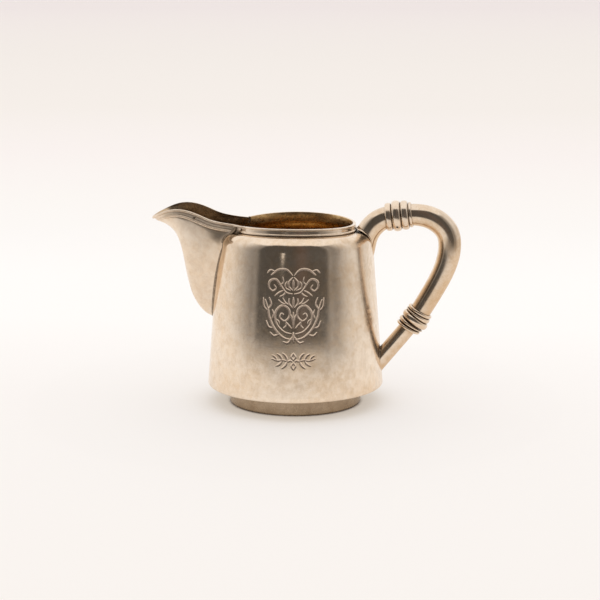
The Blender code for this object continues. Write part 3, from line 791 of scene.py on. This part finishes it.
def scarf(ring, weight):
    """Turn a band's end ring about the axis, more at the top, so that the joint is slanted."""
    share = (ring[:, 2] - ring[:, 2].min()) / (ring[:, 2].max() - ring[:, 2].min())
    turn = np.radians(SCARF_LOW + (SCARF_HIGH - SCARF_LOW) * share) * weight
    x = ring[:, 0] * np.cos(turn) - ring[:, 1] * np.sin(turn)
    y = ring[:, 0] * np.sin(turn) + ring[:, 1] * np.cos(turn)
    return np.stack([x, y, ring[:, 2]], -1)


def place_band(name, rings, metal, gilt, node):
    """Slant the near joint and close the ends; the inner face of the section carries the gilding."""
    for k in range(SCARF_RINGS):
        rings[-1 - k] = scarf(rings[-1 - k], 1.0 - k / SCARF_RINGS)
    rows, cols = rings.shape[:2]
    marks = ([0] * (cols - 2) + [1, 1]) * (rows - 1) + [0, 0]
    item = build_mesh(name, rings, capped_faces(rows, cols), [metal, gilt], marks, 40.0)
    place_piece(item, "trim_silver", node)


def build_lip_band(metal, gilt):
    rim, down, out, tall = lip_frames(LIP_STEPS)
    rings = []
    for i in range(LIP_STEPS):
        section = band_section(LIP_THICK - 0.3, tall[i])
        base = rim[i] + down[i] * tall[i] - out[i] * (LIP_THICK - 0.1)
        rings.append(base + out[i] * section[:, :1] - down[i] * section[:, 1:])
    rings = np.array(rings)
    rings = np.concatenate([rings, rings[::-1][1:] * MIRROR], 0)
    place_band("lip_band", rings, metal, gilt, "spout_lip_band")


def build_mouth_band(metal, gilt):
    tall = RIM_Z - SHOULDER_TOP_Z
    section = band_section(LIP_THICK - 0.1, tall)
    rings = []
    for angle in np.linspace(BAND_JOINT - 0.01, 2.0 * math.pi - BAND_JOINT + 0.004, 220):
        r = BAND_BORE_R + section[:, 0]
        z = RIM_Z - RIM_DIP * math.cos(angle) ** 2 - tall + section[:, 1]
        rings.append(np.stack([-r * math.cos(angle), r * math.sin(angle), z], -1))
    place_band("mouth_moulding", np.array(rings), metal, gilt, "mouth_band")


def fillet(name, foot, along_body, along_part, size, metal, closed):
    """Concave bead of solder in the corner between the wall and a part that meets it."""
    inward = -unit(along_body + along_part)
    rings = [
        foot + along_body * size,
        foot + along_body * size * 0.42 + along_part * size * 0.1,
        foot + along_body * size * 0.1 + along_part * size * 0.42,
        foot + along_part * size,
        foot + inward * 0.25,
    ]
    rings = np.stack(rings, 1)
    rows, cols = rings.shape[:2]
    faces = grid_faces(rows, cols, True, True) if closed else capped_faces(rows, cols)
    return build_mesh(name, rings, faces, [metal], None, 60.0)


def outside_shoulder(points):
    """Distance outside the body wall with the dip of its rim, negative inside."""
    r = np.hypot(points[:, 0], points[:, 1])
    lift = RIM_DIP * (points[:, 0] / r) ** 2 * sway_share(points[:, 2])
    z = np.minimum(points[:, 2] + lift, SHOULDER_TOP_Z - 0.02)
    return r - outer_radius(z)


def build_spout_seam(metal):
    """Bead of solder along the line where the spout meets the wall and the shoulder."""
    places, near = 220, 60
    keel, rim = spout_lines(places)
    u = np.linspace(0.0, 1.0, places)
    t = np.linspace(0.0, 1.0, 140) ** 1.5
    t = t[t < 0.985]
    grid = rib_points(keel[:near], rim[:near], u[:near], t)
    foot, part = [], []
    for k in range(len(t)):
        clear = outside_shoulder(grid[:, k])
        last = 0
        while last < near - 4 and clear[last] < -0.04:
            last += 1
        foot.append(grid[last, k])
        part.append(grid[last + 3, k] - grid[last, k])
    foot = np.array(foot)
    foot[1:] = smooth_row(foot[1:], 24)
    part = unit(np.array(part))
    foot = np.concatenate([foot[::-1][:-1] * MIRROR, foot], 0)
    part = np.concatenate([part[::-1][:-1] * MIRROR, part], 0)
    # the smoothed line is brought back out to the wall
    step = 0.1
    slope = np.stack([outside_shoulder(foot + e) - outside_shoulder(foot - e) for e in np.eye(3) * step], -1)
    slope = slope / (2.0 * step)
    normal = unit(slope)
    sunk = np.minimum(outside_shoulder(foot), 0.0) / np.linalg.norm(slope, axis=1)
    foot = foot - normal * sunk[:, None]
    body = unit(np.cross(unit(np.gradient(foot, axis=0)), normal))
    away = np.where(body[:, 1] * np.sign(foot[:, 1] + 1e-9) < 0.0, -1.0, 1.0)
    body = body * away[:, None]
    body[len(foot) // 2] = (0.0, 0.0, -1.0)
    body, part = unit(smooth_row(body)), unit(smooth_row(part))
    item = fillet("spout_solder", foot, body, part, 0.8, metal, False)
    place_piece(item, "body_silver")


# --- foot and base


def turned_piece(name, profile, materials, slot, node, steps, sharp, marks=None):
    profile = np.array(profile, float)
    angle = full_turn(steps)
    x = profile[:, :1] * np.cos(angle)
    y = profile[:, :1] * np.sin(angle)
    points = np.stack([x, y, np.repeat(profile[:, 1:], steps, 1)], -1)
    face_marks = np.repeat(marks, steps) if marks else None
    item = build_mesh(name, points, grid_faces(len(profile), steps, True, True), materials, face_marks, sharp)
    place_piece(item, slot, node)


def build_foot(metal):
    profile = [(25.7, 7.4), (25.7, 0.25), (25.85, 0.05), (26.0, 0.0), (26.6, 0.0), (26.85, 0.06)]
    profile += [(26.98, 0.25), (27.0, 0.6), (27.02, 1.6), (27.06, 3.0), (27.12, 4.4), (27.2, 5.6)]
    profile += [(27.35, 6.4), (27.55, 6.9), (27.9, 7.2), (28.3, 7.36), (28.3, 7.45)]
    turned_piece("foot", profile, [metal], "foot_silver", "foot_ring", 200, 50.0)


def build_base(metal, gilt):
    edge = BODY_BOTTOM_R - SHEET
    profile = [(0.02, 8.3), (edge - 0.02, 8.3), (edge - 0.02, 7.46), (edge - 0.3, 7.42), (28.0, 7.42)]
    profile += [(12.0, 7.42), (0.02, 7.42)]
    marks = [1, 1, 0, 0, 0, 0, 0]
    turned_piece("base_disc", profile, [metal, gilt], "gilt_silver", "base_plate", 160, 30.0, marks)


# --- handle


def tube_grid(points, count, sides):
    """Rings round the tube whose centre line and radius run through the points."""
    x, z, radius = smooth_line(points, count, 1).T
    centre = np.stack([x, np.zeros(count), z], -1)
    up = unit(np.cross(SIDEWAYS[None], unit(np.gradient(centre, axis=0))))
    turn = full_turn(sides)[None, :, None]
    around = np.cos(turn) * up[:, None, :] + np.sin(turn) * SIDEWAYS
    return centre[:, None, :] + radius[:, None, None] * around


def outside_body(points):
    """Distance outside the wall and the mouth band, negative inside."""
    r = np.hypot(points[..., 0], points[..., 1])
    z = points[..., 2]
    wall = np.where(z <= SHOULDER_TOP_Z, r - outer_radius(np.clip(z, 0.0, SHOULDER_TOP_Z)), r - BAND_R)
    return np.maximum(wall, z - RIM_Z + RIM_DIP)


def trimmed_tube(name, grid, metal, node, solder_name, solder):
    """A tube whose first end follows the surface that it is soldered to, with its bead of solder."""
    count, sides = grid.shape[:2]
    share = np.linspace(0.0, 1.0, count)
    rows, foot = [], []
    for s in range(sides):
        clear = outside_body(grid[:, s])
        index = count - 1
        while index > 0 and clear[index] > 0.0:
            index -= 1
        hit = 0.0
        if index < count - 1 and clear[index] <= 0.0:
            hit = index + clear[index] / (clear[index] - clear[index + 1])
        start = max(hit - 0.6, 0.0)
        where = start + (count - 1 - start) * share
        low = np.clip(where.astype(int), 0, count - 2)
        part = (where - low)[:, None]
        rows.append(grid[low, s] * (1.0 - part) + grid[low + 1, s] * part)
        low = min(int(hit), count - 2)
        foot.append(grid[low, s] + (grid[low + 1, s] - grid[low, s]) * (hit - low))
    surface = np.stack(rows, 1)
    build_tube(name, surface, metal, node)
    build_root_solder(solder_name, np.array(foot), unit(surface[6] - surface[1]), solder, 0.45)


def build_root_solder(name, foot, leave, metal, size):
    r = np.hypot(foot[:, 0], foot[:, 1])
    normal = np.stack([foot[:, 0] / r, foot[:, 1] / r, np.full(len(r), BODY_TAPER)], -1)
    up_share = smoothstep(foot[:, 2], SHOULDER_Z, SHOULDER_TOP_Z)[:, None]
    normal = unit(normal * (1.0 - 0.7 * up_share) + np.array([0.0, 0.0, 1.0]) * up_share * 0.7)
    run = unit(np.roll(foot, -1, 0) - np.roll(foot, 1, 0))
    body = unit(np.cross(run, normal))
    if np.sign(((foot - foot.mean(0)) * body).sum(-1)).sum() < 0:
        body = -body
    item = fillet(name, foot, body, leave, size, metal, True)
    place_piece(item, "handle_silver")


def build_tube(name, grid, metal, node):
    item = build_mesh(name, grid, capped_faces(*grid.shape[:2]), [metal], None, 60.0)
    place_piece(item, "handle_silver", node)


def build_ring(name, x, z, axis, inner, outer, width, wedge, metal, node):
    centre = np.array([x, 0.0, z])
    along = np.array([math.cos(axis), 0.0, math.sin(axis)])
    right = np.array([math.sin(axis), 0.0, -math.cos(axis)])
    rings = []
    for turn in full_turn(96):
        out = right * math.cos(turn) + SIDEWAYS * math.sin(turn)
        half = 0.5 * (width + wedge * math.cos(turn))
        ring = [centre + out * inner - along * half * 0.9]
        for bend in np.linspace(-86.0, 86.0, 17):
            angle = math.radians(bend)
            high = inner + (outer - inner) * (0.45 + 0.55 * math.cos(angle) ** 0.8)
            ring.append(centre + out * high + along * half * math.sin(angle))
        ring.append(centre + out * inner + along * half * 0.9)
        rings.append(ring)
    rings = np.array(rings)
    item = build_mesh(name, rings, grid_faces(*rings.shape[:2], True, True), [metal], None, 50.0)
    place_piece(item, "trim_silver", node)


def build_handle(tube_metal, ring_metal, solder):
    upper = tube_grid(UPPER_BRANCH, 90, 64)
    lower = tube_grid(LOWER_BRANCH, 120, 56)[::-1]
    trimmed_tube("upper_branch", upper, tube_metal, "handle_upper_branch", "upper_root_solder", solder)
    build_tube("bow", tube_grid(BOW, 220, 64), tube_metal, "handle_bow")
    trimmed_tube("lower_branch", lower, tube_metal, "handle_lower_branch", "lower_root_solder", solder)
    for name, x, z, inner, outer, width in COLLAR:
        build_ring(name + "_bead", x, z, COLLAR_LEAN, inner, outer, width, 0.0, ring_metal, name)
    for name, x, z, lean, inner, outer, width, wedge in KNOT:
        build_ring(name + "_wrap", x, z, math.radians(lean), inner, outer, width, wedge, ring_metal, name)


def pin_hole(name, centre, out, size, rim_metal, painted_hole_shade):
    """A small round hole with a raised lip; its shallow inside is coloured near black as painted shade of a
    deep hole.
    """
    across = unit(np.cross(out, np.array([0.3, 0.1, 1.0])))
    along = np.cross(across, out)
    turn = full_turn(28)[:, None]
    circle = along * np.cos(turn) + across * np.sin(turn)
    profile = ((1.25, -0.14), (1.2, 0.0), (1.05, 0.045), (0.9, 0.04), (0.78, 0.0), (0.74, -0.02))
    rings = [centre + out * h + circle * r * size for r, h in profile]
    rings += [centre - out * 0.02 + circle * 0.02, centre - out * 0.15 + circle * 0.02]
    # the inner rings and the floor of the hole take the near-black painted shade
    marks = np.repeat([0, 0, 0, 1, 1, 1, 1, 0], len(turn))
    faces = grid_faces(len(rings), len(turn), True, True)
    item = build_mesh(name, np.array(rings), faces, [rim_metal, painted_hole_shade], marks, 50.0)
    place_piece(item, "trim_silver")


def build_pin_holes(rim_metal, painted_hole_shade):
    """Vent low in the collar's middle ring and a hole in the lip moulding, both on the near side."""
    _, x, z, _, outer, _ = COLLAR[1]
    down = np.array([math.sin(COLLAR_LEAN), 0.0, -math.cos(COLLAR_LEAN)])
    out = unit(0.62 * down + np.array([0.0, -0.785, 0.0]))
    pin_hole("vent_hole", np.array([x, 0.0, z]) + out * (outer + 0.03), out, 0.5, rim_metal, painted_hole_shade)
    rim, drop, away, tall = lip_frames(LIP_STEPS)
    k = int(np.argmin(np.abs(rim[:, 0] - LIP_PIN_X)))
    centre = rim[k] + drop[k] * tall[k] * 0.5 + away[k] * -0.03
    pin_hole("lip_pin_hole", centre * MIRROR, away[k] * MIRROR, 0.48, rim_metal, painted_hole_shade)


# --- stage


def mesh_tone(tree):
    node = add_node(tree, "Attribute")
    node.attribute_name = "tone"
    return node.outputs["Color"]


def glowing(name):
    """Emission with the colour stored on the mesh."""
    material = bpy.data.materials.new(name)
    material.use_nodes = True
    tree = material.node_tree
    tree.nodes.clear()
    glow = add_node(tree, "Emission", Color=mesh_tone(tree))
    add_node(tree, "OutputMaterial", Surface=glow.outputs["Emission"])
    return material


def toned_mesh(name, points, faces, tones, material, seen=True):
    """A stage mesh in metres, coloured at each point; when not seen, only reflections show it."""
    mesh = bpy.data.meshes.new(name)
    mesh.from_pydata(np.asarray(points, float).reshape(-1, 3).tolist(), [], faces.tolist())
    layer = mesh.color_attributes.new("tone", "FLOAT_COLOR", "POINT")
    rgba = np.concatenate([np.asarray(tones, float).reshape(-1, 3), np.ones((len(mesh.vertices), 1))], 1)
    layer.data.foreach_set("color", rgba.astype(np.float32).reshape(-1))
    mesh.materials.append(material)
    item = add_object(name, mesh)
    item.visible_camera = item.visible_diffuse = item.visible_shadow = item.visible_transmission = seen


def warm(value):
    """A near-white tone; the darker it is, the browner."""
    value = np.asarray(value, float)[..., None]
    white = np.array([1.0, 0.962, 0.93])
    brown = np.array([1.0, 0.93, 0.87])
    share = np.clip(value, 0.0, 1.0)
    return value * (white * share + brown * (1.0 - share))


FACING = math.radians(-84.0)
ROOM_R = 0.5
LAMP_R = 0.26
# Brightness of the room by turn from the front, in degrees, to the left and to the right.
SIDE_LEFT = (
    (0, 0.085), (49, 0.085), (52, 0.11), (55, 0.24), (58, 0.28), (62, 0.26), (70, 0.36), (78, 0.5),
    (88, 0.66), (99, 0.83), (125, 0.95), (180, 1.0),
)
SIDE_RIGHT = (
    (0, 0.088), (41, 0.1), (44.5, 0.13), (47.5, 0.29), (50.5, 0.3), (54.5, 0.24), (58, 0.26), (64, 0.36),
    (71, 0.52), (81, 0.66), (91, 0.76), (102, 0.76), (114, 0.72), (129, 0.88), (151, 1.0), (180, 1.0),
)


def side_tone(turn):
    """Brightness of the room near the level of the table; turn in degrees from the front."""
    return np.where(turn < 0.0, np.interp(-turn, *zip(*SIDE_LEFT)), np.interp(turn, *zip(*SIDE_RIGHT)))


def circle_points(radius, angle, high):
    return np.stack([radius * np.cos(angle), radius * np.sin(angle), np.full(len(angle), high)], -1)


def build_room():
    """The room as the metal reflects it: a bright table, bright sides and top, and a dark side in front."""
    turns = np.linspace(-180.0, 180.0, 361)
    low = side_tone(turns)
    radii = [0.11, 0.14, 0.17, 0.195, 0.22, 0.25, 0.28, 0.315, 0.35, 0.39, 0.43, 0.46, 0.5]
    near = np.interp(np.abs(turns), [0.0, 40.0, 75.0, 110.0, 180.0], [0.88, 0.9, 0.95, 0.98, 1.0])
    rows, tones = [], []
    angle = FACING + np.radians(turns)
    for radius in radii:
        share = np.interp(radius, [0.17, 0.22, 0.28, 0.35, 0.43, 0.5], [1.0, 0.95, 0.72, 0.36, 0.1, 0.04])
        rows.append(circle_points(radius, angle, 0.00005))
        tones.append(warm(low + (near - low) * share))
    for rise in list(np.linspace(0.5, 24.0, 30)) + list(np.linspace(26.0, 90.0, 65)):
        up = math.radians(rise)
        rows.append(circle_points(ROOM_R * math.cos(up), angle, ROOM_R * math.sin(up)))
        # the dark side has rounded upper corners
        corner = 63.0 - 9.0 * smoothstep(np.abs(turns + 5.0), 34.0, 54.0)
        opened = smoothstep(rise - corner, -4.0, 5.0)
        side_lift = smoothstep(rise, 4.0, 60.0) * smoothstep(np.abs(turns), 48.0, 90.0) * 0.5
        value = low + (1.0 - low) * np.maximum(opened, side_lift)
        blush = np.exp(-((turns - 9.0) / 9.0) ** 2) * (1.0 - opened) * 0.035
        tones.append(warm(value) + blush[:, None] * np.array([1.0, 0.42, 0.25]))
    points = np.array(rows)
    points[..., 0] += AXIS_X * MM
    toned_mesh("room", points, grid_faces(*points.shape[:2]), tones, glowing("room_glow"), seen=False)


def build_lamp():
    """Small bright opening in the dark side, low in front; only the metal sees it."""
    turn = np.radians(np.linspace(-21.5, -12.5, 19)) + FACING
    high = np.linspace(0.050, 0.072, 12)
    h, a = np.meshgrid(high, turn, indexing="ij")
    points = np.stack([LAMP_R * np.cos(a) + AXIS_X * MM, LAMP_R * np.sin(a), h], -1)
    side = np.exp(-((np.degrees(a - FACING) + 17.0) / 1.7) ** 2)
    glow = side * smoothstep(h, 0.051, 0.067) ** 1.6 * 1.5
    tones = warm(np.full(h.shape, 0.085)) + glow[..., None] * np.array([1.0, 0.95, 0.9])
    toned_mesh("lamp", points, grid_faces(*h.shape), tones, glowing("lamp_glow"), seen=False)


# Painted light of the floor, its glow by distance behind the jug: distance in metres, then red, green and
# blue.
FLOOR_TONES = (
    (-12.0, 0.88, 0.83, 0.78), (-0.5, 0.885, 0.835, 0.79), (-0.12, 0.905, 0.88, 0.86),
    (0.0, 0.92, 0.895, 0.88), (0.08, 0.95, 0.935, 0.925), (0.15, 0.98, 0.975, 0.97),
    (0.26, 0.98, 0.975, 0.97), (0.37, 0.95, 0.945, 0.94), (0.6, 0.935, 0.91, 0.89),
    (0.9, 0.9, 0.84, 0.83), (1.4, 0.825, 0.775, 0.73), (2.6, 0.78, 0.73, 0.69),
    (6.0, 0.71, 0.63, 0.64), (12.0, 0.68, 0.6, 0.61),
)


def build_floor():
    """Pale paper glowing with painted light, a little darker far away and in front, with a painted soft
    shadow round the jug and a dark painted contact shadow where it stands.
    """
    xs = [-12.0, -2.0, -0.6, -0.2, 0.2, 0.6, 2.0, 12.0]
    points = [(x, row[0], -0.0002) for row in FLOOR_TONES for x in xs]
    tones = [row[1:] for row in FLOOR_TONES for _ in xs]
    material, tree, shader = new_material("floor_paper_with_painted_light")
    # painted shadow from ambient occlusion: a soft brown shadow round the jug, and a dark contact shadow at
    # the foot
    near = ranged(tree, occlusion(tree, 16.0), 0.2, 1.0)
    contact_shadow = ranged(tree, occlusion(tree, 2.2), 0.45, 0.8)
    glow = mixed(tree, near, (0.76, 0.68, 0.58, 1.0), mesh_tone(tree))
    glow = mixed(tree, contact_shadow, (0.09, 0.06, 0.04, 1.0), glow)
    fill(tree, shader, Base_Color=(0.46, 0.445, 0.435, 1.0), Roughness=0.9, Specular_IOR_Level=0.1)
    fill(tree, shader, Emission_Color=glow, Emission_Strength=0.54)
    toned_mesh("floor", points, grid_faces(len(FLOOR_TONES), len(xs)), tones, material)


def build_stage():
    build_floor()
    build_room()
    build_lamp()
    world = bpy.data.worlds.new("studio")
    bpy.context.scene.world = world
    world.use_nodes = True
    tree = world.node_tree
    fill(tree, tree.nodes["Background"], Color=(1.0, 0.965, 0.93, 1.0), Strength=1.0)


def main():
    make_camera()
    view = bpy.context.scene.view_settings
    view.view_transform, view.look = "Standard", "None"
    clean = (0.92, 0.8, 0.665, 1.0)
    tan = (0.83, 0.64, 0.445, 1.0)
    dark = (0.15, 0.105, 0.07, 1.0)
    trim_dark = (0.27, 0.2, 0.14, 1.0)
    # the foot's silver is painted darker than the body's: painted shade under the body and of the shaded
    # table it reflects
    foot_shaded_clean, foot_shaded_tan = (0.49, 0.38, 0.27, 1.0), (0.36, 0.265, 0.18, 1.0)
    # roughness from and to, then tarnish, painted shade with tarnish in the hollows, dents, painted warm
    # reflection on the underside, brushing
    body_metal = silver("body_silver_look", clean, tan, dark, (0.085, 0.15), 0.9, 0.8, dull=0.1)
    spout_metal = silver("spout_silver_look", clean, tan, dark, (0.34, 0.42), 0.7, 0.8)
    trim_wear_and_shade = (0.6, 0.9, 0.1, 0.45, 0.15)
    trim_metal = silver("trim_silver_look", (0.9, 0.78, 0.65, 1.0), tan, trim_dark, (0.14, 0.24), *trim_wear_and_shade)
    lip_metal = silver("lip_silver_look", (0.92, 0.8, 0.67, 1.0), tan, trim_dark, (0.38, 0.46), *trim_wear_and_shade)
    handle_tan, handle_wear_and_shade = (0.74, 0.56, 0.38, 1.0), (0.95, 0.9, 0.2, 0.85, 0.25)
    handle_metal = silver("handle_silver_look", clean, handle_tan, dark, (0.1, 0.19), *handle_wear_and_shade)
    foot_metal = silver("foot_shaded_silver_look", foot_shaded_clean, foot_shaded_tan, dark, (0.25, 0.36), 0.9, 0.8, 0.1)
    gilt = gilding("gilt_look", (0.9, 0.64, 0.32, 1.0), (0.5, 0.31, 0.14, 1.0))
    # the spout's lining: a greyer, darker copy of the gilding inside the body
    spout_lining_gilt = gilding("spout_lining_gilt_look", (0.6, 0.46, 0.31, 1.0), (0.25, 0.175, 0.11, 1.0))
    solder = solder_and_hole_shade("solder_look", (0.26, 0.2, 0.14, 1.0), (0.52, 0.42, 0.32, 1.0))
    build_stage()
    build_body(body_metal, gilt, cut_silver("graver_cut_look"))
    build_spout(spout_metal, spout_lining_gilt)
    build_spout_seam(solder)
    build_lip_band(lip_metal, spout_lining_gilt)
    build_mouth_band(trim_metal, gilt)
    build_foot(foot_metal)
    build_base(foot_metal, gilt)
    build_handle(handle_metal, trim_metal, handle_metal)
    build_pin_holes(trim_metal, solder_and_hole_shade("painted_hole_shade_look", (0.02, 0.015, 0.01, 1.0), (0.06, 0.045, 0.03, 1.0)))


main()
